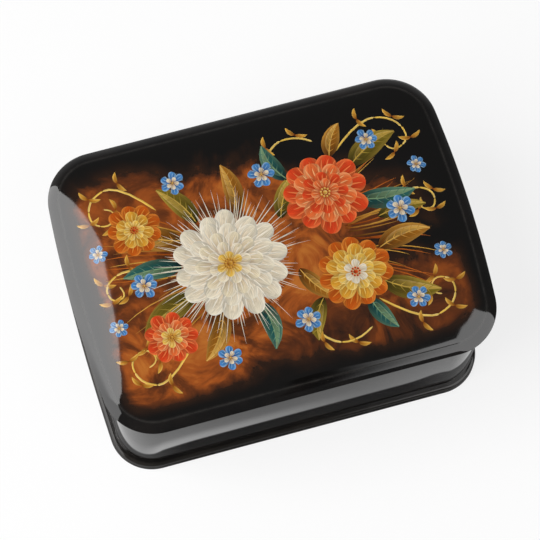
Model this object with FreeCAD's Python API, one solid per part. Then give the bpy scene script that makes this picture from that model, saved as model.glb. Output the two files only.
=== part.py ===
import FreeCAD, Part
import math
import os

# A low lacquered box of pressed paper with a domed, hinged lid. All sizes are in millimetres.
# Z is up, X runs along the box and the hinges are at the back, at +Y.
# The origin is the middle of the underside.
# The body's ends bulge less than the lid's. Both edges share the long sides and the middles of the corners.
# A size called an inset counts inwards from the edge that the piece belongs to, the lid's or the body's.

# Lid
lid_length = 140.0
lid_width = 102.5
corner_radius = 17.5
end_bulge = 3.2
rim_width = 3.6
rim_rise = 1.8
rim_bulge = 0.3
rim_drop = 3.6
rim_undercut = 3.0
rim_nose_radius = 0.4
panel_thickness = 2.2
panel_joint = 0.1
dome_rise = 2.4

# Box body
body_height = 48.6
body_end_bulge = 1.5
lid_overhang = 4.2
wall_thickness = 5.0
wall_edge_round = 0.3
base_thickness = 4.0
base_ledge = 1.3
base_land = 0.1
base_foot_round = 0.4
floor_thickness = 2.0
floor_joint = 0.1
lip_thickness = 2.0
lip_rise = 3.0
lip_depth = 10.0
lip_edge_round = 0.5
glue_line = 0.05

# Clearances between the lid and the box body
lid_gap = 0.3
lip_clearance = 0.5
running_clearance = 0.3

# Hinges
hinge_end_distance = 32.0
hinge_length = 22.0
lid_knuckle_length = 8.0
knuckle_gap = 0.3
barrel_diameter = 3.0
pin_diameter = 1.2
pin_clearance = 0.05
pin_head_diameter = 2.0
pin_head_height = 0.4
leaf_thickness = 0.7
leaf_joint = 0.1
body_leaf_height = 9.0
lid_leaf_depth = 3.3

# Nails
nail_diameter = 1.0
nail_head_diameter = 1.9
nail_head_height = 0.5
nail_sink = 0.5
nail_clearance = 0.05
nail_cover = 1.0
nail_end_distance = 3.0

# Two edges closer in height than this are at the same height
same_height = 0.001

# Heights
floor_level = base_thickness + floor_thickness
lid_bottom = body_height + lid_gap
lid_edge_level = lid_bottom + rim_drop
lid_top = lid_edge_level + rim_rise
panel_seat = lid_top - panel_thickness

# Insets
wall_inset = lid_overhang
cavity_inset = wall_inset + wall_thickness
lip_inset = cavity_inset + glue_line
base_inset = wall_inset - base_ledge
rim_inner_inset = cavity_inset - lip_clearance
panel_inset = rim_width + panel_joint

half_length = lid_length / 2
half_width = lid_width / 2
corner_y = half_width - corner_radius


class Edge:
    """An edge with straight long sides, bulged ends and round corners, all tangent."""

    def __init__(self, bulge):
        self.end_radius = (half_width ** 2 + bulge ** 2) / (2 * bulge)
        self.corner_reach = math.sqrt((self.end_radius - corner_radius) ** 2 - corner_y ** 2)
        self.end_angle = math.atan2(corner_y, self.corner_reach)


lid_edge = Edge(end_bulge)
body_edge = Edge(body_end_bulge)
corner_x = half_length - lid_edge.end_radius + lid_edge.corner_reach

# The hinge line, outside the back wall and under the lid's overhang
barrel_radius = barrel_diameter / 2
wall_back = half_width - wall_inset
hinge_x = half_length - hinge_end_distance
hinge_middles = {"left": -hinge_x, "right": hinge_x}
pin_y = wall_back + barrel_radius + running_clearance
pin_z = lid_bottom - barrel_radius - running_clearance
body_knuckle_length = (hinge_length - lid_knuckle_length) / 2 - knuckle_gap
nail_reach = hinge_length / 2 - nail_end_distance
leaf_bend = pin_z - barrel_radius + leaf_thickness
body_nail_z = leaf_bend - body_leaf_height / 2
lid_nail_y = wall_back - lid_leaf_depth / 2
body_nail_length = wall_thickness - nail_cover
lid_nail_length = panel_seat - lid_bottom - nail_cover


def arc(centre_x, centre_y, radius, start, end, level):
    """A round stretch of an outline, from one angle to another."""
    points = []
    for angle in (start, (start + end) / 2, end):
        x = centre_x + radius * math.cos(angle)
        y = centre_y + radius * math.sin(angle)
        points.append(FreeCAD.Vector(x, y, level))
    return Part.Arc(*points).toShape()


def outline(edge, inset, level):
    """The closed wire that lies inside an edge by the inset."""
    side_y = half_width - inset
    end_r = edge.end_radius - inset
    end_angle = edge.end_angle
    end_centre_x = corner_x - edge.corner_reach
    corner_r = corner_radius - inset
    back_right = FreeCAD.Vector(corner_x, side_y, level)
    back_left = FreeCAD.Vector(-corner_x, side_y, level)
    front_left = FreeCAD.Vector(-corner_x, -side_y, level)
    front_right = FreeCAD.Vector(corner_x, -side_y, level)
    quarter = math.pi / 2
    half = math.pi
    whole = 2 * math.pi
    edges = [
        arc(end_centre_x, 0, end_r, 0, end_angle, level),
        arc(corner_x, corner_y, corner_r, end_angle, quarter, level),
        Part.makeLine(back_right, back_left),
        arc(-corner_x, corner_y, corner_r, quarter, half - end_angle, level),
        arc(-end_centre_x, 0, end_r, half - end_angle, half, level),
        arc(-end_centre_x, 0, end_r, half, half + end_angle, level),
        arc(-corner_x, -corner_y, corner_r, half + end_angle, half + quarter, level),
        Part.makeLine(front_left, front_right),
        arc(corner_x, -corner_y, corner_r, half + quarter, whole - end_angle, level),
        arc(end_centre_x, 0, end_r, whole - end_angle, whole, level),
    ]
    return Part.Wire(edges)


def slab(edge, inset, low, high):
    """A full plate between two heights."""
    return Part.Face(outline(edge, inset, low)).extrude(FreeCAD.Vector(0, 0, high - low))


def block(low, high):
    """A square-cornered block between two opposite corners."""
    size = [b - a for a, b in zip(low, high)]
    return Part.makeBox(*size, FreeCAD.Vector(*low))


def rounded(shape, level, radius):
    """The shape with its edges at one height rounded."""
    edges = []
    for edge in shape.Edges:
        heights = [vertex.Z for vertex in edge.Vertexes]
        if max(heights) - same_height < level < min(heights) + same_height:
            edges.append(edge)
    return shape.makeFillet(radius, edges)


def rod(start, direction, radius, length):
    return Part.makeCylinder(radius, length, FreeCAD.Vector(*start), FreeCAD.Vector(*direction))


def hinge_rod(left, length, radius):
    """A round bar along the hinge line, from its left end."""
    return rod((left, pin_y, pin_z), (1, 0, 0), radius, length)


def nail_places(middle):
    return [middle - nail_reach, middle, middle + nail_reach]


def base_plate():
    """The thin plate that the wall stands on, a little wider than the wall."""
    plate = slab(body_edge, base_inset, 0, base_thickness)
    plate = rounded(plate, base_thickness, base_ledge - base_land)
    return rounded(plate, 0, base_foot_round)


def body_wall():
    """The upright wall, with a seat for each hinge leaf and a hole for each nail."""
    wall = slab(body_edge, wall_inset, base_thickness, body_height)
    wall = rounded(wall, base_thickness, wall_edge_round)
    wall = rounded(wall, body_height, wall_edge_round)
    wall = wall.cut(slab(body_edge, cavity_inset, base_thickness, body_height))
    for middle in hinge_middles.values():
        half = hinge_length / 2 + leaf_joint
        seat_low = (middle - half, wall_back - leaf_thickness, leaf_bend - body_leaf_height - leaf_joint)
        seat_high = (middle + half, half_width, body_height)
        wall = wall.cut(block(seat_low, seat_high))
        for x in nail_places(middle):
            hole_radius = nail_diameter / 2 + nail_clearance
            start = (x, wall_back, body_nail_z)
            wall = wall.cut(rod(start, (0, -1, 0), hole_radius, body_nail_length + nail_clearance))
    return wall


def floor_board():
    """The board glued to the base plate inside the wall."""
    return slab(body_edge, cavity_inset + floor_joint, base_thickness, floor_level)


def inner_lip():
    """The strip glued inside the wall's top, which stands up into the lid."""
    top = body_height + lip_rise
    bottom = body_height - lip_depth
    lip = rounded(slab(body_edge, lip_inset, bottom, top), top, lip_edge_round)
    return lip.cut(slab(body_edge, lip_inset + lip_thickness, bottom, top))


def rim_section():
    """The frame's section at the middle of the right end, with a ledge inside its bowed top for the panel."""
    reach = rim_nose_radius * math.sin(math.pi / 4)
    nose_inset = rim_nose_radius - reach
    places = [
        (rim_width, lid_top),
        (rim_width, panel_seat),
        (rim_inner_inset, panel_seat),
        (rim_inner_inset, lid_bottom),
        (rim_undercut, lid_bottom),
        (nose_inset, lid_edge_level - reach),
        (0, lid_edge_level),
        (nose_inset, lid_edge_level + reach),
    ]
    points = [FreeCAD.Vector(half_length - inset, 0, level) for inset, level in places]
    top, under_nose, tip, over_nose = points[0], *points[5:]
    edges = [Part.makeLine(*pair) for pair in zip(points[:5], points[1:6])]
    edges.append(Part.Arc(under_nose, tip, over_nose).toShape())
    chord = top - over_nose
    outwards = FreeCAD.Vector(-chord.z, 0, chord.x).normalize()
    crown = (top + over_nose) / 2 - outwards * rim_bulge
    edges.append(Part.Arc(over_nose, crown, top).toShape())
    return Part.Wire(edges)


def lid_rim():
    """The lid's frame: its section led round the edge, with a seat for each hinge leaf."""
    sweep = Part.BRepOffsetAPI.MakePipeShell(outline(lid_edge, 0, lid_edge_level))
    sweep.setBiNormalMode(FreeCAD.Vector(0, 0, 1))
    sweep.add(rim_section())
    sweep.build()
    sweep.makeSolid()
    rim = sweep.shape()
    for middle in hinge_middles.values():
        half = hinge_length / 2 + leaf_joint
        seat_low = (middle - half, wall_back - lid_leaf_depth - leaf_joint, lid_bottom)
        seat_high = (middle + half, pin_y + barrel_radius + leaf_joint, lid_bottom + leaf_thickness)
        rim = rim.cut(block(seat_low, seat_high))
        for x in nail_places(middle):
            hole_radius = nail_diameter / 2 + nail_clearance
            start = (x, lid_nail_y, lid_bottom)
            rim = rim.cut(rod(start, (0, 0, 1), hole_radius, lid_nail_length + nail_clearance))
    return rim


def lid_panel():
    """The domed panel: one smooth sheet, level along its edge, with soft shoulders and a flatter middle."""
    half_x = half_length - rim_width
    half_y = half_width - rim_width
    # How strongly each row of the sheet's points is pulled up, from one edge to the other.
    # These pulls make each section 1 - s^4, where s runs from -1 to 1 across the panel.
    pulls = (0, 2, 0, 2, 0)
    degree = len(pulls) - 1
    points = []
    for i, pull_x in enumerate(pulls):
        x = half_x * (2 * i / degree - 1)
        row = []
        for j, pull_y in enumerate(pulls):
            y = half_y * (2 * j / degree - 1)
            row.append(FreeCAD.Vector(x, y, lid_top + dome_rise * pull_x * pull_y))
        points.append(row)
    ends = (degree + 1, degree + 1)
    surface = Part.BSplineSurface()
    surface.buildFromPolesMultsKnots(points, ends, ends, (0, 1), (0, 1), False, False, degree, degree)
    sheet = surface.toShape().extrude(FreeCAD.Vector(0, 0, -panel_thickness))
    return sheet.common(slab(lid_edge, panel_inset, panel_seat, lid_top + dome_rise))


def body_leaf(middle):
    """The hinge's leaf on the wall: a plate in its seat, bent out to two knuckles."""
    left = middle - hinge_length / 2
    right = middle + hinge_length / 2
    leaf = block(
        (left, wall_back - leaf_thickness, leaf_bend - body_leaf_height), (right, wall_back, leaf_bend)
    )
    for start in (left, right - body_knuckle_length):
        arm_low = (start, wall_back - leaf_thickness, leaf_bend - leaf_thickness)
        arm = block(arm_low, (start + body_knuckle_length, pin_y, leaf_bend))
        leaf = leaf.fuse([arm, hinge_rod(start, body_knuckle_length, barrel_radius)])
    leaf = leaf.cut(hinge_rod(left, hinge_length, pin_diameter / 2 + pin_clearance))
    for x in nail_places(middle):
        hole_radius = nail_diameter / 2 + nail_clearance
        leaf = leaf.cut(rod((x, wall_back, body_nail_z), (0, -1, 0), hole_radius, leaf_thickness))
    return leaf.removeSplitter()


def lid_leaf(middle):
    """The hinge's leaf on the lid: a plate in its seat, bent down to the middle knuckle."""
    left = middle - hinge_length / 2
    right = middle + hinge_length / 2
    outer = pin_y + barrel_radius
    leaf = block((left, wall_back - lid_leaf_depth, lid_bottom), (right, outer, lid_bottom + leaf_thickness))
    start = middle - lid_knuckle_length / 2
    arm_low = (start, outer - leaf_thickness, pin_z)
    arm = block(arm_low, (start + lid_knuckle_length, outer, lid_bottom + leaf_thickness))
    leaf = leaf.fuse([arm, hinge_rod(start, lid_knuckle_length, barrel_radius)])
    leaf = leaf.cut(hinge_rod(left, hinge_length, pin_diameter / 2 + pin_clearance))
    for x in nail_places(middle):
        leaf = leaf.cut(sunk_nail(x, nail_clearance))
    return leaf.removeSplitter()


def hinge_pin(middle):
    """The pin through the knuckles, with a small head riveted on each end."""
    left = middle - hinge_length / 2 - knuckle_gap
    length = hinge_length + 2 * knuckle_gap
    pin = hinge_rod(left, length, pin_diameter / 2)
    for start in (left - pin_head_height, left + length):
        head = hinge_rod(start, pin_head_height, pin_head_diameter / 2)
        pin = pin.fuse(head)
    return pin.removeSplitter()


def body_nail(x):
    """A round-headed nail driven forwards through the leaf into the wall."""
    shank = rod((x, wall_back, body_nail_z), (0, -1, 0), nail_diameter / 2, body_nail_length)
    head_radius = nail_head_diameter / 2
    ball_radius = (head_radius ** 2 + nail_head_height ** 2) / (2 * nail_head_height)
    ball_y = wall_back + nail_head_height - ball_radius
    ball = Part.makeSphere(ball_radius, FreeCAD.Vector(x, ball_y, body_nail_z))
    head = ball.common(rod((x, wall_back, body_nail_z), (0, 1, 0), head_radius, nail_head_height))
    return shank.fuse(head)


def sunk_nail(x, margin):
    """A flat-headed nail driven up into the lid, larger all round by the margin."""
    start = FreeCAD.Vector(x, lid_nail_y, lid_bottom)
    up = FreeCAD.Vector(0, 0, 1)
    shank_radius = nail_diameter / 2 + margin
    head_radius = nail_head_diameter / 2 + margin
    head = Part.makeCone(head_radius, shank_radius, nail_sink, start, up)
    return head.fuse(Part.makeCylinder(shank_radius, lid_nail_length + margin, start, up))


def save(name, shape):
    shape.exportStep(os.path.join("parts", name + ".step"))


os.makedirs("parts", exist_ok=True)
save("base_plate", base_plate())
save("body_wall", body_wall())
save("floor_board", floor_board())
save("inner_lip", inner_lip())
save("lid_rim", lid_rim())
save("lid_panel", lid_panel())
for side, middle in hinge_middles.items():
    save("hinge_" + side + "_body_leaf", body_leaf(middle))
    save("hinge_" + side + "_lid_leaf", lid_leaf(middle))
    save("hinge_" + side + "_pin", hinge_pin(middle))
    body_nails = [body_nail(x) for x in nail_places(middle)]
    save("hinge_" + side + "_body_nails", Part.makeCompound(body_nails))
    lid_nails = [sunk_nail(x, 0) for x in nail_places(middle)]
    save("hinge_" + side + "_lid_nails", Part.makeCompound(lid_nails))
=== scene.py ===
import math
import random

import bmesh
import bpy
from mathutils import Matrix, Vector


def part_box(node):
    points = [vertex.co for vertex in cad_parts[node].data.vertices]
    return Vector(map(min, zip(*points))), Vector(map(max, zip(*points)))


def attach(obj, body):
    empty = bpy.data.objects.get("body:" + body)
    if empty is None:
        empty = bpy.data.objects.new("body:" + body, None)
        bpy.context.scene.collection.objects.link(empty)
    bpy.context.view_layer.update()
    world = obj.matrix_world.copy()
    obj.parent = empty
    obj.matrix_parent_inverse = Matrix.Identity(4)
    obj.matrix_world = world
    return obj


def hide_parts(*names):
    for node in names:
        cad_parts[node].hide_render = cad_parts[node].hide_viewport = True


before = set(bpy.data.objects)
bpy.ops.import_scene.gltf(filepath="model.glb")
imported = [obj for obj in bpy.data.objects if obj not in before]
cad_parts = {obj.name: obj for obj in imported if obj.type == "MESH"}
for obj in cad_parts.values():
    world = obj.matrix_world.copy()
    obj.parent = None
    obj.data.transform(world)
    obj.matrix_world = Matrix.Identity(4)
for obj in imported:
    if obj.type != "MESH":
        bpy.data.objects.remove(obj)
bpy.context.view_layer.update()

# A black lacquer box of pressed paper, with a painted, domed lid on two brass hinges.
# All sizes are in metres.
# Every outline is a parallel of the lid's edge or of the body's, which has flatter ends.
MM = 0.001
UP = Vector((0, 0, 1))

# The boxes around the solids, and the outlines of the lid's edge and the body's
rim_low, rim_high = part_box("lid_rim")
panel_low, panel_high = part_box("lid_panel")
wall_low, wall_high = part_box("body_wall")
base_low, base_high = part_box("base_plate")
floor_low, floor_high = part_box("floor_board")
lip_low, lip_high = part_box("inner_lip")
half_length = rim_high.x
half_width = rim_high.y
corner_radius = 17.5 * MM
corner_y = half_width - corner_radius
lid_bulge = 3.2 * MM
body_bulge = 1.5 * MM
corner_steps = 22
end_steps = 10


class Edge:
    """An edge with straight long sides, bulged ends and round corners, all tangent."""

    def __init__(self, bulge):
        self.end_radius = (half_width ** 2 + bulge ** 2) / (2 * bulge)
        self.corner_reach = math.sqrt((self.end_radius - corner_radius) ** 2 - corner_y ** 2)
        self.end_angle = math.atan2(corner_y, self.corner_reach)


lid_edge = Edge(lid_bulge)
body_edge = Edge(body_bulge)
corner_x = half_length - lid_edge.end_radius + lid_edge.corner_reach

# Thicknesses that the pieces' own boxes don't give
wall_thickness = 5.0 * MM
lip_thickness = 2.0 * MM
leaf_joint = 0.1 * MM
rim_width = 3.6 * MM
rim_rise = 1.8 * MM
rim_undercut = 3.0 * MM
rim_bulge = 0.3 * MM
rim_nose = 0.37 * MM
rim_nose_lead = 0.10 * MM
rim_foot_round = 0.15 * MM
rim_inner_inset = 8.7 * MM
base_top_round = 1.2 * MM
base_foot_round = 0.4 * MM
floor_round = 0.25 * MM
lip_round = 0.7 * MM
wall_round = 0.4 * MM

# How finely the swept pieces are divided, and how far a flat plate's edge runs inwards before its middle
slope_cuts = 17
panel_cuts = 24
panel_rings = 26
panel_reach = 5 * MM
plate_reach = 6 * MM
smooth_angle = 35

# Places closer than the first are the same place, and corners closer than the second are merged
same_place = 0.005 * MM
merge_distance = 0.001 * MM

# The dome is a sheet held along its rounded outline and pressed out evenly, with waves fitted to the
# reflections in the photo. It isn't the solid's dome: it lies up to 0.31 mm over it and 0.12 mm under it.
# Its top stays under the solid's, so that the paint on it stays inside the solid's box.
paint_room = 0.12 * MM
dome_level = rim_high.z
dome_rise = panel_high.z - rim_high.z - paint_room
dome_half_x = half_length - rim_width
dome_roundness = 1.2645
dome_waves = (0.5448, -0.2706, -0.0223, 0.0130, -0.0032, 0.0076, -0.0106, 0.0092, -0.0050, 0.0008)
dome_half_y = half_width - rim_width
dome_corners = 1.0
dome_fullness = 2.5

# The lacquer covers the joint between the frame and the panel, and sinks a little over it
valley_depth = 0.012 * MM
valley_reach = 1.0 * MM
# How far the painted highlight along the joint reaches to each side
highlight_reach = 0.65 * MM


def sunk(distance):
    """How far the lacquer sinks at a distance from the joint."""
    share = min(1.0, abs(distance) / valley_reach)
    return valley_depth * (1 + math.cos(math.pi * share)) / 2


def dome_height(x, y):
    """Height of the lid's painted surface over a place."""
    place = complex(x, y) / dome_half_x
    swell = 1 - dome_roundness * abs(place) ** 2
    for number, wave in enumerate(dome_waves, 1):
        swell += wave * (place ** (2 * number)).real
    swell *= 1 + dome_corners * (x * y / dome_half_x / dome_half_y) ** 2
    return dome_level + dome_rise * (1 - max(0.0, 1 - swell) ** dome_fullness)


# Shader maths


class Wire:
    """A number on a node's socket. Arithmetic written on it adds Math nodes."""

    def __init__(self, finish, socket):
        self.finish = finish
        self.socket = socket

    def maths(self, operation, *values):
        return self.finish.add("ShaderNodeMath", {"operation": operation}, dict(enumerate(values)))

    def __add__(self, other):
        return self.maths("ADD", self, other)

    def __sub__(self, other):
        return self.maths("SUBTRACT", self, other)

    def __rsub__(self, other):
        return self.maths("SUBTRACT", other, self)

    def __mul__(self, other):
        return self.maths("MULTIPLY", self, other)

    def __truediv__(self, other):
        return self.maths("DIVIDE", self, other)

    def __pow__(self, other):
        return self.maths("POWER", self, other)

    __radd__ = __add__
    __rmul__ = __mul__


class Finish:
    """A material made of nodes, with one Principled shader at its end."""

    def __init__(self, name, **constants):
        self.material = bpy.data.materials.new(name)
        self.material.use_nodes = True
        self.tree = self.material.node_tree
        self.tree.nodes.clear()
        self.shader = self.tree.nodes.new("ShaderNodeBsdfPrincipled")
        self.output = self.tree.nodes.new("ShaderNodeOutputMaterial")
        self.tree.links.new(self.shader.outputs[0], self.output.inputs["Surface"])
        self.place = self.add("ShaderNodeTexCoord", {}, {}, "Object")
        for socket, value in constants.items():
            self.set(socket.replace("_", " "), value)

    def add(self, kind, settings, sockets, output=0):
        """Adds one node: its settings first, then its sockets' values or wires."""
        node = self.tree.nodes.new(kind)
        for name, value in settings.items():
            if name == "stops":
                self.lay_stops(node.color_ramp, value)
            else:
                setattr(node, name, value)
        for name, value in sockets.items():
            self.feed(node.inputs[name], value)
        return Wire(self, node.outputs[output])

    def lay_stops(self, ramp, stops):
        for position, colour in stops[2:]:
            ramp.elements.new(position)
        for element, (position, colour) in zip(ramp.elements, stops):
            element.position = position
            element.color = (*colour, 1) if len(colour) == 3 else colour

    def feed(self, socket, value):
        if isinstance(value, Wire):
            self.tree.links.new(value.socket, socket)
        else:
            socket.default_value = value

    def set(self, socket, value):
        """Gives one of the shader's own sockets a value or a wire."""
        if socket == "Base Color" and not isinstance(value, Wire):
            value = (*value, 1)
        self.feed(self.shader.inputs[socket], value)

    def noise(self, scale, detail=3, roughness=0.5, place=None, distortion=0.0):
        sockets = {"Vector": place or self.place, "Scale": scale, "Detail": detail}
        sockets.update({"Roughness": roughness, "Distortion": distortion})
        return self.add("ShaderNodeTexNoise", {}, sockets)

    def ramp(self, value, stops, output=0):
        return self.add("ShaderNodeValToRGB", {"stops": stops}, {"Fac": value}, output)

    def between(self, value, low, high, start=0.0, end=1.0):
        """Moves a value smoothly from start to end while it goes from low to high."""
        sockets = {"Value": value, "From Min": low, "From Max": high, "To Min": start, "To Max": end}
        return self.add("ShaderNodeMapRange", {"interpolation_type": "SMOOTHSTEP"}, sockets)

    def mix(self, share, first, second, how="MIX"):
        """A colour between two colours."""
        first = (*first, 1) if isinstance(first, tuple) and len(first) == 3 else first
        second = (*second, 1) if isinstance(second, tuple) and len(second) == 3 else second
        settings = {"data_type": "RGBA", "blend_type": how}
        return self.add("ShaderNodeMix", settings, {0: share, 6: first, 7: second}, 2)

    def bump(self, height, distance, strength=1.0, normal=None):
        sockets = {"Height": height, "Distance": distance, "Strength": strength}
        if normal:
            sockets["Normal"] = normal
        return self.add("ShaderNodeBump", {}, sockets)


def split(finish, vector):
    """The x, y and z of a vector, as three wires."""
    node = finish.tree.nodes.new("ShaderNodeSeparateXYZ")
    finish.feed(node.inputs[0], vector)
    return [Wire(finish, socket) for socket in node.outputs]


def polish(finish, roughness):
    """The varnish: fine cloudiness, a fine grain and a surface rubbed flat by hand."""
    clouds = finish.noise(55, 4, 0.6)
    fine = finish.noise(900, 2)
    finish.set("Roughness", roughness + finish.between(clouds, 0.5, 0.8, 0, 0.03) + fine * 0.01)
    waves = finish.noise(38, 2, 0.4)
    grain = finish.noise(1400, 2)
    rubbed = finish.bump(waves, 0.015 * MM)
    finish.set("Normal", finish.bump(grain, 0.0012 * MM, 1.0, rubbed))


def joint_highlight(finish, colour):
    """A painted highlight, broken into patches, in the sunken line over the joint between the frame and the
    panel.
    """
    line = finish.add("ShaderNodeAttribute", {"attribute_name": "joint"}, {}, "Fac")
    patches = finish.noise(180, 3, 0.6)
    return finish.mix(line * finish.between(patches, 0.3, 0.7, 0.45, 1.0), colour, (0.026, 0.024, 0.022))


def black_lacquer(name, wear):
    """Black lacquer. Wear, from 0 to 1, turns its black to a dull brown-grey."""
    finish = Finish(name, IOR=1.5 - 0.24 * wear)
    depth = finish.noise(70, 4, 0.6)
    depth = finish.between(depth, 0.35, 0.75)
    colour = finish.mix(depth, (0.0045, 0.0042, 0.0042), (0.0095, 0.0078, 0.0070))
    rubbed = finish.noise(150, 5, 0.65)
    colour = finish.mix(finish.between(rubbed, 0.25, 0.65, 0.5 * wear, wear), colour, (0.030, 0.026, 0.022))
    dust = finish.noise(2600, 1)
    colour = finish.mix(finish.between(dust, 0.80, 0.86, 0, 0.5), colour, (0.16, 0.15, 0.14))
    # A painted highlight along the joint between the frame and the panel
    colour = joint_highlight(finish, colour)
    lining = finish.add("ShaderNodeAttribute", {"attribute_name": "lining"}, {}, "Fac")
    finish.set("Base Color", finish.mix(finish.between(lining, 0.90, 0.93), colour, red_coat(finish)))
    polish(finish, 0.035 + 0.12 * wear)
    return finish.material


def red_coat(finish):
    depth = finish.noise(60, 5, 0.65)
    return finish.mix(finish.between(depth, 0.3, 0.7), (0.26, 0.010, 0.006), (0.36, 0.020, 0.010))


def red_lacquer():
    finish = Finish("red_lacquer", IOR=1.5)
    finish.set("Base Color", red_coat(finish))
    polish(finish, 0.10)
    return finish.material


def lid_ground():
    """The painted ground of the panel: a warm glow that fades into black, under clear varnish."""
    finish = Finish("lid_ground", IOR=1.5)
    x, y = split(finish, finish.place)[:2]
    drift = finish.noise(26, 6, 0.62, distortion=0.6)
    smoke = finish.noise(62, 5, 0.6, distortion=1.2)
    # The pools of warm colour: their middles, half widths and half heights in millimetres, their strengths
    pools = [(-15, -3, 70, 45, 1.0), (-44, -26, 36, 30, 1.0), (24, -28, 52, 22, 0.75), (-46, 18, 32, 30, 0.8)]
    glow = 0
    for middle_x, middle_y, width, height, strength in pools:
        reach_x = (x - middle_x * MM) / (width * MM)
        reach_y = (y - middle_y * MM) / (height * MM)
        far = reach_x * reach_x + reach_y * reach_y + (drift - 0.5) * 2.2
        glow = x.maths("MAXIMUM", finish.between(far, 1.0, 0.25, 0, strength), glow)
    for across, side in ((x, half_length), (y, half_width)):
        glow = glow * finish.between(across.maths("ABSOLUTE", across), side - 5 * MM, side - 12 * MM)
    stops = [
        (0.0, (0.0042, 0.0038, 0.0036)),
        (0.32, (0.024, 0.010, 0.005)),
        (0.60, (0.120, 0.030, 0.007)),
        (0.85, (0.32, 0.075, 0.011)),
        (1.0, (0.44, 0.140, 0.022)),
    ]
    warm = finish.ramp(glow * finish.between(smoke, 0.28, 0.68, 0.40, 1.0), stops)
    facing = finish.add("ShaderNodeTexCoord", {}, {}, "Normal")
    upwards = finish.between(split(finish, facing)[2], -0.2, 0.2)
    # Downward faces are red, and along the joint lies a painted highlight
    finish.set("Base Color", finish.mix(upwards, (0.30, 0.014, 0.008), joint_highlight(finish, warm)))
    polish(finish, 0.035)
    return finish.material


def brass():
    finish = Finish("aged_brass", Metallic=1.0)
    tarnish = finish.noise(420, 5, 0.65)
    spots = finish.noise(1500, 3)
    colour = finish.mix(finish.between(tarnish, 0.35, 0.7), (0.70, 0.49, 0.20), (0.38, 0.25, 0.11))
    colour = finish.mix(finish.between(spots, 0.60, 0.75, 0, 0.6), colour, (0.16, 0.11, 0.06))
    finish.set("Base Color", colour)
    finish.set("Roughness", 0.26 + tarnish * 0.25)
    brushed = finish.add("ShaderNodeMapping", {}, {"Vector": finish.place, "Scale": (1, 14, 14)})
    finish.set("Normal", finish.bump(finish.noise(700, 3, place=brushed), 0.01 * MM))
    return finish.material


def steel():
    finish = Finish("pin_steel", Metallic=1.0)
    wear = finish.noise(900, 4, 0.6)
    colour = finish.mix(finish.between(wear, 0.4, 0.7), (0.55, 0.54, 0.52), (0.30, 0.28, 0.26))
    finish.set("Base Color", colour)
    finish.set("Roughness", 0.30 + wear * 0.2)
    finish.set("Normal", finish.bump(wear, 0.006 * MM))
    return finish.material


# Modelling


def pick(kind, test):
    """Selects what passes the test, and nothing else. The test gets the middle of each item."""
    bpy.ops.mesh.select_mode(type=kind)
    bpy.ops.mesh.select_all(action="DESELECT")
    mesh = bmesh.from_edit_mesh(bpy.context.edit_object.data)
    items = {"VERT": mesh.verts, "EDGE": mesh.edges, "FACE": mesh.faces}[kind]
    for item in items:
        corners = [item] if kind == "VERT" else item.verts
        middle = sum((corner.co for corner in corners), Vector()) / len(corners)
        if test(middle):
            item.select_set(True)
    mesh.select_flush_mode()
    bmesh.update_edit_mesh(bpy.context.edit_object.data)


def near(a, b):
    return abs(a - b) < same_place


def start_section(name, outer_inset, inner_inset, low, high):
    """A flat rectangle across the middle of the back side, open for editing."""
    bpy.ops.object.select_all(action="DESELECT")
    middle = half_width - (outer_inset + inner_inset) / 2
    place = (0, middle, (low + high) / 2)
    bpy.ops.mesh.primitive_plane_add(size=1, location=place, rotation=(0, math.pi / 2, 0))
    piece = bpy.context.object
    piece.name = piece.data.name = name
    piece.scale = (high - low, inner_inset - outer_inset, 1)
    bpy.ops.object.transform_apply(location=True, rotation=True, scale=True)
    bpy.ops.object.mode_set(mode="EDIT")
    return piece


def round_corner(inset, level, radius, segments):
    """Rounds one corner of the section."""
    pick("VERT", lambda place: near(place.y, half_width - inset) and near(place.z, level))
    bpy.ops.mesh.bevel(offset=radius, offset_type="OFFSET", segments=segments, affect="VERTICES")


def sweep_section(edge):
    """Leads the section's edges along a quarter of the outline and mirrors them to the whole of it."""
    piece = bpy.context.object
    bpy.ops.mesh.select_all(action="SELECT")
    bpy.ops.mesh.extrude_edges_move(TRANSFORM_OT_translate={"value": (corner_x, 0, 0)})
    centre = (corner_x, corner_y, 0)
    bpy.ops.mesh.spin(steps=corner_steps, angle=math.pi / 2 - edge.end_angle, center=centre, axis=UP)
    centre = (corner_x - edge.corner_reach, 0, 0)
    bpy.ops.mesh.spin(steps=end_steps, angle=edge.end_angle, center=centre, axis=UP)
    bpy.ops.object.mode_set(mode="OBJECT")
    mirror = piece.modifiers.new("mirror", "MIRROR")
    mirror.use_axis = (True, True, False)
    mirror.merge_threshold = merge_distance
    bpy.ops.object.modifier_apply(modifier=mirror.name)
    bpy.ops.object.mode_set(mode="EDIT")
    bpy.ops.mesh.select_all(action="SELECT")
    bpy.ops.mesh.remove_doubles(threshold=merge_distance)


def close_piece(sharpest=smooth_angle):
    """Turns all faces outwards, smooths the round stretches and leaves edit mode."""
    bpy.ops.mesh.select_all(action="SELECT")
    bpy.ops.mesh.normals_make_consistent(inside=False)
    bpy.ops.object.mode_set(mode="OBJECT")
    bpy.ops.object.shade_smooth_by_angle(angle=math.radians(sharpest))


def inset_at(place):
    """How far a place lies inside the lid's outline."""
    x, y = abs(place.x), abs(place.y)
    end_centre_x = corner_x - lid_edge.corner_reach
    if x > end_centre_x and math.atan2(y, x - end_centre_x) < lid_edge.end_angle:
        return lid_edge.end_radius - math.hypot(x - end_centre_x, y)
    if x > corner_x and y > corner_y:
        return corner_radius - math.hypot(x - corner_x, y - corner_y)
    return half_width - y


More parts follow.
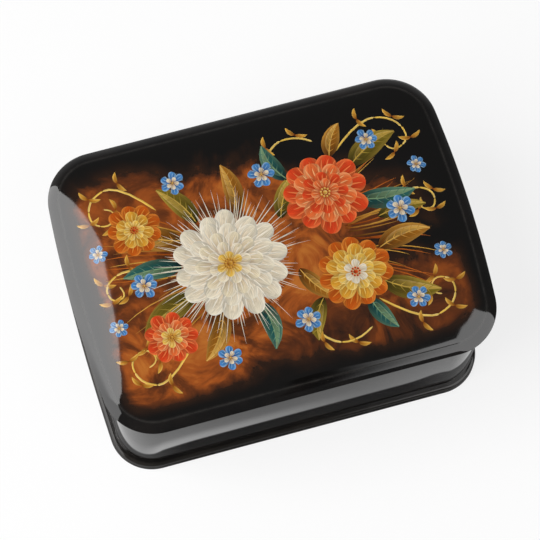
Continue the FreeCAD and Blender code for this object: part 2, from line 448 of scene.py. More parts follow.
def cut_seats(piece, leaf, low_end, high_end):
    """Cuts the seat of each hinge leaf, a hair wider than the leaf. The ends are where the cut runs out."""
    for side in ("left", "right"):
        leaf_low, leaf_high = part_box("hinge_" + side + leaf)
        low = Vector((leaf_low.x - leaf_joint, *low_end(leaf_low)))
        high = Vector((leaf_high.x + leaf_joint, *high_end(leaf_high)))
        bpy.ops.object.select_all(action="DESELECT")
        bpy.ops.mesh.primitive_cube_add(size=1, location=(low + high) / 2, scale=high - low)
        cutter = bpy.context.object
        bpy.context.view_layer.objects.active = piece
        cut = piece.modifiers.new("seat", "BOOLEAN")
        cut.operation = "DIFFERENCE"
        cut.solver = "EXACT"
        cut.object = cutter
        bpy.ops.object.modifier_apply(modifier=cut.name)
        bpy.data.objects.remove(cutter)
    piece.select_set(True)
    bpy.ops.object.shade_smooth_by_angle(angle=math.radians(smooth_angle))


def mark_joint(piece):
    """Marks the lacquer over the joint between the frame and the panel, for its painted highlight."""
    marks = piece.data.attributes.new("joint", "FLOAT", "POINT")
    for corner, mark in zip(piece.data.vertices, marks.data):
        if corner.co.z > rim_high.z - rim_rise:
            mark.value = max(0.0, 1 - abs(inset_at(corner.co) - rim_width) / highlight_reach)


def mark_lining(wall):
    """Marks the wall's inner side, which is lacquered red like the rest of the inside."""
    marks = wall.data.attributes.new("lining", "FLOAT", "POINT")
    middle = inset_of(wall_high) + wall_thickness * 0.6
    for corner, mark in zip(wall.data.vertices, marks.data):
        if inset_at(corner.co) > middle:
            mark.value = 1.0


def dress(piece, material, body, slot, *nodes):
    piece.data.materials.clear()
    piece.data.materials.append(material)
    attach(piece, body)
    if nodes:
        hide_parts(*nodes)


def open_rim(level):
    """Selects the free edges at one height."""
    bpy.ops.mesh.select_mode(type="EDGE")
    bpy.ops.mesh.select_all(action="DESELECT")
    mesh = bmesh.from_edit_mesh(bpy.context.edit_object.data)
    for edge in mesh.edges:
        if edge.is_boundary and all(near(corner.co.z, level) for corner in edge.verts):
            edge.select_set(True)
    bmesh.update_edit_mesh(bpy.context.edit_object.data)


def plate(name, inset, low, high, top_rounding, bottom_rounding, segments):
    """A flat plate with a rounded edge."""
    core = inset + plate_reach
    piece = start_section(name, inset, core, low, high)
    round_corner(inset, high, top_rounding, segments)
    round_corner(inset, low, bottom_rounding, segments)
    bpy.ops.mesh.select_all(action="SELECT")
    bpy.ops.mesh.delete(type="ONLY_FACE")
    pick("EDGE", lambda place: near(place.y, half_width - core))
    bpy.ops.mesh.delete(type="EDGE")
    sweep_section(body_edge)
    for level in (low, high):
        open_rim(level)
        bpy.ops.mesh.edge_face_add()
    close_piece()
    return piece


def band(name, outer_inset, inner_inset, low, high, roundings, segments=5):
    """A band with a rectangular section, its corners rounded where asked."""
    piece = start_section(name, outer_inset, inner_inset, low, high)
    for inset, level, radius in roundings:
        round_corner(inset, level, radius, segments)
    bpy.ops.mesh.select_all(action="SELECT")
    bpy.ops.mesh.delete(type="ONLY_FACE")
    sweep_section(body_edge)
    close_piece()
    return piece


def inset_of(high_corner):
    return half_width - high_corner.y


def make_base(material):
    inset = inset_of(base_high)
    piece = plate("base_board", inset, base_low.z, base_high.z, base_top_round, base_foot_round, 8)
    dress(piece, material, "box", "black_lacquer", "base_plate")


def make_floor(material):
    inset = inset_of(floor_high)
    piece = plate("inside_floor", inset, floor_low.z, floor_high.z, floor_round, floor_round, 3)
    dress(piece, material, "box", "red_lacquer", "floor_board")


def make_lip(material):
    outer = inset_of(lip_high)
    inner = outer + lip_thickness
    roundings = [(inset, lip_high.z, lip_round) for inset in (outer, inner)]
    roundings.append((inner, lip_low.z, lip_round / 2))
    piece = band("lip_strip", outer, inner, lip_low.z, lip_high.z, roundings)
    dress(piece, material, "box", "red_lacquer", "inner_lip")


def make_rim(material):
    """The lid's frame: a bowed slope down to a rounded nose, cut back under it, and the panel's ledge."""
    piece = start_section("lid_frame", 0, rim_inner_inset, rim_low.z, rim_high.z)
    inner = half_width - rim_width
    ledge = panel_low.z
    bpy.ops.mesh.select_all(action="SELECT")
    bpy.ops.mesh.bisect(plane_co=(0, inner, 0), plane_no=(0, 1, 0))
    bpy.ops.mesh.select_all(action="SELECT")
    bpy.ops.mesh.bisect(plane_co=(0, 0, ledge), plane_no=UP)
    pick("FACE", lambda place: place.z > ledge and place.y < inner)
    bpy.ops.mesh.delete(type="FACE")
    pick("EDGE", lambda place: (near(place.y, inner) and place.z < ledge) or is_inside(place, inner, ledge))
    bpy.ops.mesh.dissolve_edges(use_verts=False)
    pick("VERT", lambda place: near(place.y, half_width) and near(place.z, ledge))
    bpy.ops.mesh.dissolve_verts()
    pick("VERT", lambda place: near(place.y, inner) and near(place.z, rim_low.z))
    bpy.ops.mesh.dissolve_verts()
    # The outer corners go to the nose's tip and to the undercut's inner edge
    tip = half_width + rim_nose_lead
    pick("VERT", lambda place: near(place.y, half_width) and near(place.z, rim_high.z))
    bpy.ops.transform.translate(value=(0, tip - half_width, -rim_rise))
    pick("VERT", lambda place: near(place.y, half_width) and near(place.z, rim_low.z))
    bpy.ops.transform.translate(value=(0, -rim_undercut, 0))
    bpy.ops.mesh.select_all(action="SELECT")
    bpy.ops.mesh.delete(type="ONLY_FACE")
    # The slope above the nose is divided and pushed out to its bow
    chord = Vector((0, tip - inner, -rim_rise))
    pick("EDGE", lambda place: place.y > inner + 0.1 * MM and place.z > rim_high.z - rim_rise)
    bpy.ops.mesh.subdivide(number_cuts=slope_cuts)
    outwards = Vector((0, rim_rise, chord.y)).normalized()
    mesh = bmesh.from_edit_mesh(piece.data)
    for corner in mesh.verts:
        along = (corner.co - Vector((0, inner, rim_high.z))).dot(chord) / chord.length_squared
        if corner.select:
            corner.co += outwards * rim_bulge * 4 * along * (1 - along)
            corner.co.z -= sunk(corner.co.y - inner)
    bmesh.update_edit_mesh(piece.data)
    pick("VERT", lambda place: near(place.y, tip))
    bpy.ops.mesh.bevel(offset=rim_nose, offset_type="OFFSET", segments=6, affect="VERTICES")
    round_corner(rim_undercut, rim_low.z, rim_foot_round, 3)
    sweep_section(lid_edge)
    close_piece()
    cut_seats(
        piece,
        "_lid_leaf",
        lambda leaf: (leaf.y - leaf_joint, rim_low.z - 1 * MM),
        lambda leaf: (leaf.y + leaf_joint, leaf.z),
    )
    mark_joint(piece)
    dress(piece, material, "lid", "black_lacquer", "lid_rim")


def is_inside(place, inner, ledge):
    """Whether a place is on the cut that runs level through the frame's outer part."""
    return place.y > inner and near(place.z, ledge)


def make_panel(material):
    """The domed panel: a swept edge, drawn in ring by ring to the middle, then raised to the dome."""
    inset = rim_width
    core = inset + panel_reach
    low = panel_low.z
    high = dome_level
    piece = start_section("painted_panel", inset, core, low, high)
    bpy.ops.mesh.select_all(action="SELECT")
    bpy.ops.mesh.delete(type="ONLY_FACE")
    pick("EDGE", lambda place: near(place.y, half_width - core))
    bpy.ops.mesh.delete(type="EDGE")
    pick("EDGE", lambda place: near(place.z, high) or near(place.z, low))
    bpy.ops.mesh.subdivide(number_cuts=panel_cuts)
    mesh = bmesh.from_edit_mesh(piece.data)
    for corner in mesh.verts:
        if near(corner.co.z, high):
            corner.co.z -= sunk(half_width - inset - corner.co.y)
    bmesh.update_edit_mesh(piece.data)
    sweep_section(lid_edge)
    for level in (low, high):
        open_rim(level)
        for ring in range(panel_rings, 1, -1):
            share = (ring - 1) / ring
            bpy.ops.mesh.extrude_edges_move()
            bpy.ops.transform.resize(value=(share, share, 1), center_override=(0, 0, level))
        bpy.ops.mesh.extrude_edges_move()
        bpy.ops.mesh.merge(type="CENTER")
    mesh = bmesh.from_edit_mesh(piece.data)
    for corner in mesh.verts:
        corner.co.z += dome_height(corner.co.x, corner.co.y) - dome_level
    bmesh.update_edit_mesh(piece.data)
    close_piece(50)
    mark_joint(piece)
    dress(piece, material, "lid", "lid_painting", "lid_panel")


def make_wall(material):
    outer = inset_of(wall_high)
    inner = outer + wall_thickness
    roundings = [(outer, wall_low.z, wall_round / 4)]
    roundings += [(inset, wall_high.z, wall_round) for inset in (outer, inner)]
    piece = band("box_wall", outer, inner, wall_low.z, wall_high.z, roundings)
    cut_seats(
        piece,
        "_body_leaf",
        lambda leaf: (leaf.y, leaf.z - leaf_joint),
        lambda leaf: (half_width, wall_high.z + 1 * MM),
    )
    mark_lining(piece)
    dress(piece, material, "box", "black_lacquer", "body_wall")


def finish_hinges():
    """The hinges, their pins and their nails keep their solids and get their metals."""
    metals = {"leaf": brass(), "nails": brass(), "pin": steel()}
    for name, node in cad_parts.items():
        metal = metals.get(name.split("_")[-1])
        if name.startswith("hinge_") and metal:
            node.data.materials.clear()
            node.data.materials.append(metal)


# The painting: a bouquet of made-up flowers, laid stroke by stroke. Its places are in millimetres


def eye(red, green, blue):
    """A colour as the eye counts it, from 0 to 255, in the shader's own numbers."""
    return tuple((part / 255) ** 2.2 for part in (red, green, blue))


# Each paint has the colour of a stroke's root, its tip and its edges
cream = (eye(196, 150, 92), eye(236, 228, 206), eye(250, 246, 234))
ivory = (eye(150, 92, 44), eye(240, 228, 196), eye(252, 248, 236))
ray = (eye(228, 216, 184), eye(232, 226, 208), eye(240, 236, 222))
scarlet = (eye(96, 16, 8), eye(226, 70, 34), eye(246, 138, 78))
coral = (eye(140, 28, 12), eye(240, 112, 56), eye(252, 190, 130))
gold = (eye(130, 62, 14), eye(226, 162, 52), eye(246, 214, 118))
sun = (eye(176, 96, 20), eye(240, 196, 84), eye(252, 234, 164))
amber = (eye(84, 30, 8), eye(196, 88, 24), eye(236, 150, 60))
sky = (eye(18, 44, 104), eye(66, 136, 208), eye(176, 212, 238))
teal = (eye(14, 34, 36), eye(44, 104, 102), eye(126, 160, 120))
olive = (eye(36, 34, 14), eye(128, 112, 36), eye(204, 170, 74))
bronze = (eye(70, 34, 10), eye(176, 112, 34), eye(226, 176, 84))

# Where a stroke is fullest, as two powers, one from its root and one from its tip
PETAL = (0.9, 0.42)
LEAF = (0.62, 0.85)
HAIR = (0.25, 0.7)
STEM = (0.04, 0.04)

# Heights of the paint over the panel: the lowest stroke's, and how much each level adds. The sunk side of a
# stroke lies under the panel's surface
paint_height = 0.020
level_height = 0.0018
paint_sink = 0.02


def dab_shape(name, along, across):
    """One dab of paint, to be copied: its length is on x, its width on y and its thickness on z."""
    bpy.ops.object.select_all(action="DESELECT")
    bpy.ops.mesh.primitive_grid_add(x_subdivisions=along, y_subdivisions=across, size=2)
    dab = bpy.context.object
    dab.name = dab.data.name = name
    bpy.ops.object.mode_set(mode="EDIT")
    bpy.ops.mesh.select_all(action="SELECT")
    bpy.ops.transform.translate(value=(1, 0, 0))
    bpy.ops.transform.resize(value=(0.5, 1, 1), center_override=(0, 0, 0))
    bpy.ops.object.mode_set(mode="OBJECT")
    thickness = dab.modifiers.new("thickness", "SOLIDIFY")
    thickness.thickness = 1
    thickness.offset = 0
    bpy.ops.object.modifier_apply(modifier=thickness.name)
    dab.data.attributes.new("paint", "FLOAT_COLOR", "POINT")
    dab.data.attributes.new("grain", "FLOAT_VECTOR", "POINT")
    return dab


def blend(first, second, share):
    return tuple(a + (b - a) * share for a, b in zip(first, second))


def towards(place, angle, length):
    """The place at a distance from another, in a direction given in degrees."""
    angle = math.radians(angle)
    return place[0] + length * math.cos(angle), place[1] + length * math.sin(angle)


class Brushwork:
    """Strokes of paint on the panel. Each is a thin closed dab that follows the dome."""

    def __init__(self, name, seed):
        self.name = name
        self.chance = random.Random(seed)
        self.broad = dab_shape(name + "_broad_dab", 14, 4)
        self.fine = dab_shape(name + "_fine_dab", 7, 2)
        self.dabs = []

    def stroke(self, shape, start, bend, end, width, belly, level, paint):
        """Lays one stroke from start to end, drawn towards bend. A higher level lies over a lower one."""
        root, tip, edge = paint
        mesh = shape.data.copy()
        colours = mesh.attributes["paint"].data
        grain = mesh.attributes["grain"].data
        seed = self.chance.uniform(0, 50)
        length = math.dist(start, end)
        peak = belly[0] / (belly[0] + belly[1])
        fullest = peak ** belly[0] * (1 - peak) ** belly[1]
        for number, corner in enumerate(mesh.vertices):
            along = (1 - math.cos(math.pi * corner.co.x)) / 2
            rest = 1 - along
            side = corner.co.y
            x, y = blend(blend(start, bend, along), blend(bend, end, along), along)
            first_half = (bend[0] - start[0], bend[1] - start[1])
            second_half = (end[0] - bend[0], end[1] - bend[1])
            dx, dy = blend(first_half, second_half, along)
            half = width / 2 * max(0.10, along ** belly[0] * max(rest, 0) ** belly[1] / fullest)
            half *= side / math.hypot(dx, dy)
            x = (x - half * dy) * MM
            y = (y + half * dx) * MM
            lift = paint_height + level_height * level if corner.co.z > 0 else -paint_sink
            corner.co = (x, y, dome_height(x, y) + lift * MM)
            tone = blend(blend(root, tip, along ** 0.8), edge, abs(side) ** 3 * 0.75 * along)
            shadow = 1 - 0.36 * max(0, -side)
            colours[number].color = (tone[0] * shadow, tone[1] * shadow, tone[2] * shadow, 1)
            grain[number].vector = (length * along * 0.10, side * width * 0.8, seed)
        dab = bpy.data.objects.new(self.name, mesh)
        bpy.context.scene.collection.objects.link(dab)
        self.dabs.append(dab)

    def bloom(self, centre, turn, level, rings):
        """A flower: rings of petals from the outermost in. A ring is its count, reach, width and paint."""
        for count, reach, width, paint in rings:
            for number in range(count):
                angle = turn + 360 / count * (number + self.chance.uniform(-0.12, 0.12))
                length = reach * self.chance.uniform(0.92, 1.04)
                start = towards(centre, angle, reach * 0.10)
                tip = towards(centre, angle, length)
                bend = towards(towards(centre, angle, length * 0.55), angle + 90, length * 0.10)
                self.stroke(self.broad, start, bend, tip, width, PETAL, level + number % 3, paint)
                for offset in (-6, 0, 6):
                    leaning = angle + offset * 20 / count
                    low = towards(centre, leaning, length * 0.42)
                    high = towards(centre, leaning, length * self.chance.uniform(0.84, 0.93))
                    mid = towards(blend(low, high, 0.5), angle + 90, length * 0.05)
                    light = (blend(paint[0], paint[1], 0.6), paint[2], paint[2])
                    self.stroke(self.fine, low, mid, high, width * 0.10, HAIR, level + 3, light)
            level += 4
            turn += 190 / count

    def heart(self, centre, reach, level, paint, count=9):
        """The dots in the middle of a flower."""
        for number in range(count):
            spot = towards(centre, 360 * number / count, reach)
            self.dot(spot, reach * 0.55, level, paint)
        self.dot(centre, reach * 1.1, level, paint)

    def dot(self, spot, size, level, paint):
        start, end = (spot[0] - size / 2, spot[1]), (spot[0] + size / 2, spot[1])
        self.stroke(self.fine, start, spot, end, size, (0.5, 0.5), level, paint)

    def leaf(self, foot, angle, length, width, curl, level, paint):
        """A leaf with a lit half, a middle vein and side veins."""
        tip = towards(foot, angle, length)
        bend = towards(blend(foot, tip, 0.5), angle + 90, curl)
        lit = towards(bend, angle + 90, width * 0.28)
        self.stroke(self.broad, foot, bend, tip, width, LEAF, level, paint)
        light = (paint[0], paint[2], blend(paint[2], (1, 1, 1), 0.15))
        lit_foot = towards(foot, angle, length * 0.08)
        self.stroke(self.broad, lit_foot, lit, tip, width * 0.34, LEAF, level + 3, light)
        self.stroke(self.fine, foot, bend, tip, 0.40, HAIR, level + 5, (paint[2],) * 3)
        for number in range(1, 6):
            share = number / 6.5
            root = blend(blend(foot, bend, share), blend(bend, tip, share), share)
            for side in (-1, 1):
                vein = towards(root, angle + side * 42, width * 0.52 * math.sin(math.pi * share) ** 0.6)
                middle = towards(blend(root, vein, 0.5), angle, -0.3)
                thin = (paint[2], paint[1], paint[1])
                self.stroke(self.fine, root, middle, vein, 0.26, HAIR, level + 5, thin)

    def tendril(self, places, width, level, paint):
        """A long thin curl of paint that runs past the places."""
        joints = [places[0]] + [blend(a, b, 0.5) for a, b in zip(places[1:], places[2:-1])] + [places[-1]]
        for number, bend in enumerate(places[1:-1]):
            taper = width * (1 - 0.6 * number / len(places))
            plain = (paint[1], paint[1], paint[2])
            start, end = joints[number], joints[number + 1]
            self.stroke(self.fine, start, bend, end, taper, STEM, level + number % 2, plain)

    def join(self, material):
        """Makes one piece of all the strokes."""
        for shape in (self.broad, self.fine):
            bpy.data.objects.remove(shape)
        bpy.ops.object.select_all(action="DESELECT")
        for dab in self.dabs:
            dab.select_set(True)
        bpy.context.view_layer.objects.active = self.dabs[0]
        bpy.ops.object.join()
        piece = bpy.context.object
        piece.name = piece.data.name = self.name
        bpy.ops.object.shade_smooth_by_angle(angle=math.radians(40))
        dress(piece, material, "lid", "lid_painting")


def paint_colours():
    """The strokes' paint: each stroke's own colours, streaked along its length, under the varnish."""
    finish = Finish("brushed_paint", IOR=1.5)
    colour = finish.add("ShaderNodeAttribute", {"attribute_name": "paint"}, {}, "Color")
    grain = finish.add("ShaderNodeAttribute", {"attribute_name": "grain"}, {}, "Vector")
    streaks = finish.noise(2.6, 4, 0.6, grain)
    patches = finish.noise(260, 3, 0.6)
    tone = finish.between(streaks, 0.30, 0.70, 0.62, 1.0)
    grey = finish.add("ShaderNodeCombineColor", {}, {0: tone, 1: tone * 0.98, 2: tone * 0.95})
    worked = finish.mix(1.0, colour, grey, "MULTIPLY")
    worked = finish.mix(finish.between(patches, 0.55, 0.80, 0, 0.35), worked, (0.10, 0.040, 0.012))
    finish.set("Base Color", worked)
    polish(finish, 0.035)
    return finish.material


def paint_leaves(material):
    """Leaves, grasses and curls, which lie under the flowers."""
    work = Brushwork("painted_leaves", 11)
    leaves = [
        (34, 22, 25, 20, 8.0, 3, olive), (33, 10, -4, 20, 7.5, -3, teal),
        (35, -9, 8, 19, 7.5, 3, bronze), (33, -20, -24, 20, 8.0, -3, olive),
        (28, 27, 60, 13, 6.0, 2, bronze), (27, -25, -62, 14, 6.0, -2, teal),
        (12, 23, 110, 15, 6.0, 3, teal), (12, -21, -112, 15, 6.0, -3, olive),
        (-28, 11, 152, 22, 8.5, 3, bronze), (-31, 2, 176, 20, 7.0, -2, teal),
        (-29, -9, 203, 22, 8.5, -3, olive), (-22, -17, 236, 18, 7.0, 3, bronze),
        (-22, 16, 124, 18, 7.0, -3, olive), (-9, -17, 272, 17, 6.5, 3, teal),
        (-8, 16, 92, 18, 6.5, -3, bronze), (6, 10, 60, 16, 6.0, 2, olive),
        (7, -9, -55, 16, 6.0, -2, bronze), (38, 2, 2, 17, 5.5, 2, olive),
    ]
    for x, y, angle, length, width, curl, paint in leaves:
        work.leaf((x, y), angle, length, width, curl, 4 + work.chance.randrange(3), paint)
    curls = [
        [(30, 28), (41, 38), (53, 36), (57, 27), (50, 23), (46, 29), (50, 30)],
        [(30, -26), (42, -38), (54, -35), (57, -26), (50, -23), (47, -29), (51, -30)],
        [(-34, 24), (-44, 37), (-55, 34), (-57, 25), (-50, 22), (-47, 28), (-51, 29)],
        [(-34, -24), (-45, -37), (-55, -34), (-57, -25), (-50, -22), (-47, -28), (-51, -29)],
        [(40, 4), (50, 10), (59, 7), (58, 0), (52, 1), (54, 5)],
        [(-36, 2), (-48, 7), (-58, 3), (-57, -4), (-51, -3), (-53, 1)],
        [(2, 24), (8, 36), (19, 38), (24, 34)],
        [(2, -24), (8, -36), (19, -39), (25, -35)],
    ]
    for places in curls:
        work.tendril(places, 0.75, 1, sun)
        for number, place in enumerate(places[1:-1]):
            for side in (-1, 1):
                angle = 70 * side + 40 * number + 15
                tip = towards(place, angle, 4.2)
                bend = towards(blend(place, tip, 0.5), angle + 90, side)
                work.stroke(work.fine, place, bend, tip, 1.5, LEAF, 2, gold)
    for number in range(64):
        side = 1 if number % 2 else -1
        angle = work.chance.uniform(-34, 34) + (90 - 90 * side)
        foot = towards((4 * side, 0), angle, 22)
        tip = towards(foot, angle, work.chance.uniform(16, 32))
        bend = towards(blend(foot, tip, 0.6), angle + 90, work.chance.uniform(-4, 4))
        if abs(tip[0]) < 60 and abs(tip[1]) < 41:
            tint = work.chance.choice((amber, bronze, gold))
            work.stroke(work.fine, foot, bend, tip, 0.45, HAIR, 0, tint)
    work.join(material)


def paint_flowers(material):
    """The flowers, from the farthest back to the nearest."""
    work = Brushwork("painted_flowers", 23)
    for number in range(130):
        angle = 360 * number / 130 + work.chance.uniform(-2, 2)
        tip = towards((-15, -1), angle, work.chance.uniform(19, 29))
        foot = towards((-15, -1), angle, 9)
        bend = towards(blend(foot, tip, 0.5), angle + 90, work.chance.uniform(-0.8, 0.8))
        work.stroke(work.fine, foot, bend, tip, work.chance.uniform(0.22, 0.40), HAIR, 11 + number % 2, ray)
    small = [
        (4, 27, 4.6), (5, -27, 4.6), (46, 3, 5.0), (-45, -1, 4.6), (43, -29, 4.0), (42, 30, 4.0),
        (-26, 32, 4.2), (-24, -33, 4.2), (56, 17, 3.2), (56, -15, 3.2), (-57, 14, 3.2), (-57, -13, 3.2),
    ]
    for x, y, reach in small:
        rings = [(6, reach, reach * 0.62, sky), (5, reach * 0.55, reach * 0.36, ivory)]
        work.bloom((x, y), work.chance.uniform(0, 60), 13, rings)
        work.heart((x, y), reach * 0.13, 22, sun, 5)
    rings = [(9, 9.5, 5.4, amber), (7, 6.6, 4.2, gold), (6, 3.8, 2.6, sun)]
    work.bloom((-43, 19), 10, 13, rings)
    work.heart((-43, 19), 1.1, 26, scarlet)
    rings = [(9, 9.0, 5.2, scarlet), (7, 6.2, 4.0, coral), (6, 3.6, 2.4, sun)]
    work.bloom((-41, -21), 30, 13, rings)
    work.heart((-41, -21), 1.0, 26, gold)
    rings = [(11, 13.0, 6.4, amber), (9, 10.0, 5.4, gold), (8, 7.0, 4.2, sun), (6, 4.2, 2.8, cream)]
    work.bloom((25, -15), 15, 15, rings)
    work.heart((25, -15), 1.4, 32, scarlet)
    rings = [(11, 14.5, 7.2, scarlet), (9, 11.2, 6.2, coral), (8, 8.0, 4.8, scarlet), (7, 5.0, 3.2, coral)]
    work.bloom((23, 15), 0, 16, rings)
    work.heart((23, 15), 1.5, 33, sun)
    rings = [(14, 19.5, 7.4, cream), (12, 15.5, 6.6, cream), (10, 11.5, 5.6, ivory)]
    rings += [(8, 7.8, 4.4, ivory), (6, 4.6, 3.0, sun)]
    work.bloom((-15, -1), 0, 18, rings)
    work.heart((-15, -1), 1.6, 40, gold, 11)
    work.join(material)


# Stage, light and camera


def make_ground():
    """The pale floor. The box's wall doesn't mirror what the camera sees of it, but a brightness drawn for
    the mirror image alone, with a painted shadow, a dark strip along the base, fitted to the pale band on the
    photo's wall."""
    bpy.ops.object.select_all(action="DESELECT")
    bpy.ops.mesh.primitive_plane_add(size=6, location=(0, 0, 0))
    ground = bpy.context.object
    ground.name = ground.data.name = "ground"
    finish = Finish("pale_ground", Roughness=1.0, Base_Color=(0.90, 0.90, 0.90))
    x, y = split(finish, finish.place)[:2]
    width = 22 * MM
    core_x = half_length - width
    core_y = half_width - width
    out_x = x.maths("MAXIMUM", x.maths("ABSOLUTE", x) - core_x, 0)
    out_y = x.maths("MAXIMUM", y.maths("ABSOLUTE", y) - core_y, 0)
    reach = x.maths("MINIMUM", x.maths("ABSOLUTE", x), 86 * MM) / (60 * MM)
    # How far outside the base a place is. The painted shadow's dark strip is wider at the box's right end and
    # narrower at its left
    away = (out_x * out_x + out_y * out_y) ** 0.5 - width
    away = away - finish.between(x, 38 * MM, 60 * MM, 0, 1.8 * MM)
    away = away + finish.between(x, -36 * MM, -56 * MM, 0, 0.8 * MM)
    # A painted brightness: how much brighter the floor's mirror image is next to the painted shadow than
    # farther out
    most = finish.between(x, 32 * MM, -25 * MM, 0, 0.75) - finish.between(x, -50 * MM, -62 * MM, 0, 0.6)
    close = finish.between(away, 5.5 * MM, 1.5 * MM, 0, most)
    # The painted shadow's own brightness, lighter towards the box's ends
    dim = finish.between(x.maths("ABSOLUTE", x), 38 * MM, 60 * MM, 0.05, 0.19)
    bright = (reach * reach * 0.32 + 0.52) * (close + 1)
    mirrored = finish.between(away, 0.05 * MM, 0.75 * MM, dim, bright)
    light = finish.add("ShaderNodeEmission", {}, {"Color": (1, 1, 1, 1), "Strength": mirrored})
    path = finish.tree.nodes.new("ShaderNodeLightPath")
    seen = Wire(finish, path.outputs["Is Camera Ray"])
    glossy = Wire(finish, path.outputs["Is Glossy Ray"])
    white = finish.add("ShaderNodeEmission", {}, {"Color": (1, 1, 1, 1), "Strength": 1.0})
    surface = Wire(finish, finish.shader.outputs[0])
    shown = finish.add("ShaderNodeMixShader", {}, {0: seen * 0.80, 1: surface, 2: white})
    shown = finish.add("ShaderNodeMixShader", {}, {0: glossy, 1: shown, 2: light})
    finish.feed(finish.output.inputs["Surface"], shown)
    ground.data.materials.append(finish.material)


def make_sky():
    """The surroundings: white to the camera, and for all else dim, with a lighter wall behind the table."""
    world = bpy.data.worlds.new("studio")
    bpy.context.scene.world = world
    world.use_nodes = True
    tree = world.node_tree
    tree.nodes.clear()
    output = tree.nodes.new("ShaderNodeOutputWorld")
    dim = tree.nodes.new("ShaderNodeBackground")
    white = tree.nodes.new("ShaderNodeBackground")
    mix = tree.nodes.new("ShaderNodeMixShader")
    path = tree.nodes.new("ShaderNodeLightPath")
    dim.inputs["Color"].default_value = (1, 1, 1, 1)
    white.inputs["Strength"].default_value = 1.0
    white.inputs["Color"].default_value = (1, 1, 1, 1)
    # The wall behind the table is a little lighter than the ceiling, for the slope at the back of the lid
    place = tree.nodes.new("ShaderNodeTexCoord")
    parts = tree.nodes.new("ShaderNodeSeparateXYZ")
    low = tree.nodes.new("ShaderNodeMapRange")
    behind = tree.nodes.new("ShaderNodeMapRange")
    for node, limits in ((low, (0.86, 0.10, 0.0, 1.0)), (behind, (0.15, 0.75, 0.0, 0.42))):
        node.interpolation_type = "SMOOTHSTEP"
        for number, limit in enumerate(limits, 1):
            node.inputs[number].default_value = limit
    wall = tree.nodes.new("ShaderNodeMath")
    wall.operation = "MULTIPLY_ADD"
    wall.inputs[2].default_value = 0.13
    tree.links.new(place.outputs["Generated"], parts.inputs[0])
    tree.links.new(parts.outputs["Z"], low.inputs[0])
    tree.links.new(parts.outputs["Y"], behind.inputs[0])
    tree.links.new(low.outputs[0], wall.inputs[0])
    tree.links.new(behind.outputs[0], wall.inputs[1])
    tree.links.new(wall.outputs[0], dim.inputs["Strength"])
    tree.links.new(path.outputs["Is Camera Ray"], mix.inputs[0])
    tree.links.new(dim.outputs[0], mix.inputs[1])
    tree.links.new(white.outputs[0], mix.inputs[2])
    tree.links.new(mix.outputs[0], output.inputs["Surface"])


def light_panel(name, top, bottom, across, width, radiance):
    """A tall lamp for diffuse light alone, from the middle of its top edge to that of its bottom edge."""
    across = Vector(across).normalized()
    rise = Vector(top) - Vector(bottom)
    rise -= rise.dot(across) * across
    middle = (Vector(top) + Vector(bottom)) / 2
    if across.cross(rise).dot(middle) < 0:
        across = -across
    lamp = bpy.data.lights.new(name, "AREA")
    lamp.shape = "RECTANGLE"
    lamp.size = width
    lamp.size_y = rise.length
    lamp.energy = radiance * math.pi * width * rise.length
    holder = bpy.data.objects.new(name, lamp)
    bpy.context.scene.collection.objects.link(holder)
    facing = Matrix((across, rise.normalized(), across.cross(rise).normalized())).transposed().to_4x4()
    holder.matrix_world = Matrix.Translation(middle) @ facing
    holder.visible_camera = False
    holder.visible_glossy = False


def mirror_screen(name, corners, radiance, fade_across, fade_start, fade_width, dimmest):
    """A white screen that is seen only in the varnish. Along one side it fades to its dimmest share.
    The screens' corners were fitted to the pale films on the lid in the photo."""
    bpy.ops.object.select_all(action="DESELECT")
    bpy.ops.mesh.primitive_circle_add(vertices=len(corners), fill_type="NGON")
    screen = bpy.context.object
    screen.name = screen.data.name = name
    for corner, place in zip(screen.data.vertices, corners):
        corner.co = place
    constants = {"Base_Color": (0, 0, 0), "Specular_IOR_Level": 0.0, "Emission_Strength": radiance}
    finish = Finish(name + "_white", **constants)
    settings = {"operation": "DOT_PRODUCT"}
    inwards = finish.add("ShaderNodeVectorMath", settings, {0: finish.place, 1: fade_across}, "Value")
    lit = finish.between(inwards, fade_start, fade_start + fade_width, dimmest)
    finish.set("Emission Color", finish.mix(lit, (0, 0, 0), (1, 1, 1)))
    screen.data.materials.append(finish.material)
    screen.visible_camera = False
    screen.visible_diffuse = False
    screen.visible_shadow = False
    screen.visible_transmission = False


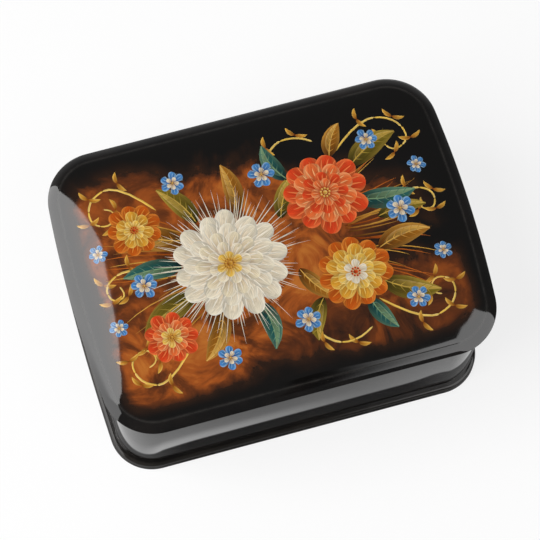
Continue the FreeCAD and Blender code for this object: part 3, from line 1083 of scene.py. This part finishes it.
def make_lights():
    light_panel("left_lamp", (-0.75, 0.05, 2.1), (-1.7, -0.15, 0.6), (0, 1, 0), 1.6, 5.0)
    light_panel("front_lamp", (0.2, -0.6, 2.2), (0.3, -1.4, 1.4), (1, 0, 0), 1.2, 1.6)
    left_corners = [
        (-0.367, 0.387, 0.020),
        (-1.840, -0.857, 0.023),
        (-1.678, -0.159, 3.200),
        (-0.223, 1.013, 2.869),
    ]
    mirror_screen("left_screen", left_corners, 5.2, (0.764, 0.645, 0.0), -0.50, 0.15, 0.60)
    right_corners = [
        (0.643, 0.233, 1.470),
        (0.452, 0.053, 1.502),
        (0.326, -0.154, 1.466),
        (0.275, -0.209, 1.470),
        (0.204, -0.162, 1.555),
        (0.174, -0.175, 1.569),
        (0.142, -0.867, 1.153),
        (0.409, -1.134, 0.779),
        (0.815, -1.365, 0.322),
        (1.648, -0.370, 0.319),
    ]
    mirror_screen("right_screen", right_corners, 3.3, (0.840, 0.251, -0.482), -0.618, 0.13, 0.0)


# The photograph's viewpoint, aimed from the middle of the lid at the level of its edge
camera_azimuth = -22.225
camera_elevation = 70.781
camera_roll = 6.471
camera_distance = 18.684 * 70 * MM
camera_right = 0.00824 * 70 * MM
camera_down = 0.07938 * 70 * MM
focal_pixels = 3869.1
picture_width = 540
sensor = 36.0


def make_camera():
    azimuth = math.radians(camera_azimuth)
    elevation = math.radians(camera_elevation)
    level = math.cos(elevation)
    back = Vector((math.sin(azimuth) * level, -math.cos(azimuth) * level, math.sin(elevation)))
    right = UP.cross(back).normalized()
    upward = back.cross(right)
    roll = math.radians(camera_roll)
    rolled_right = math.cos(roll) * right + math.sin(roll) * upward
    rolled_up = math.cos(roll) * upward - math.sin(roll) * right
    lens = bpy.data.cameras.new("camera")
    lens.sensor_width = sensor
    lens.lens = focal_pixels / picture_width * sensor
    lens.clip_start = 0.01
    lens.clip_end = 20
    camera = bpy.data.objects.new("camera", lens)
    bpy.context.scene.collection.objects.link(camera)
    aim = Vector((0, 0, rim_high.z - rim_rise))
    place = aim - camera_right * rolled_right - camera_down * rolled_up + camera_distance * back
    turn = Matrix((rolled_right, rolled_up, back)).transposed().to_4x4()
    camera.matrix_world = Matrix.Translation(place) @ turn
    bpy.context.scene.camera = camera


bpy.context.scene.view_settings.view_transform = "Standard"
black = black_lacquer("black_lacquer", 0)
red = red_lacquer()
make_base(black_lacquer("worn_lacquer", 0.5))
make_wall(black)
make_floor(red)
make_lip(red)
make_rim(black)
make_panel(lid_ground())
brushed_paint = paint_colours()
paint_leaves(brushed_paint)
paint_flowers(brushed_paint)
finish_hinges()
make_ground()
make_sky()
make_lights()
make_camera()
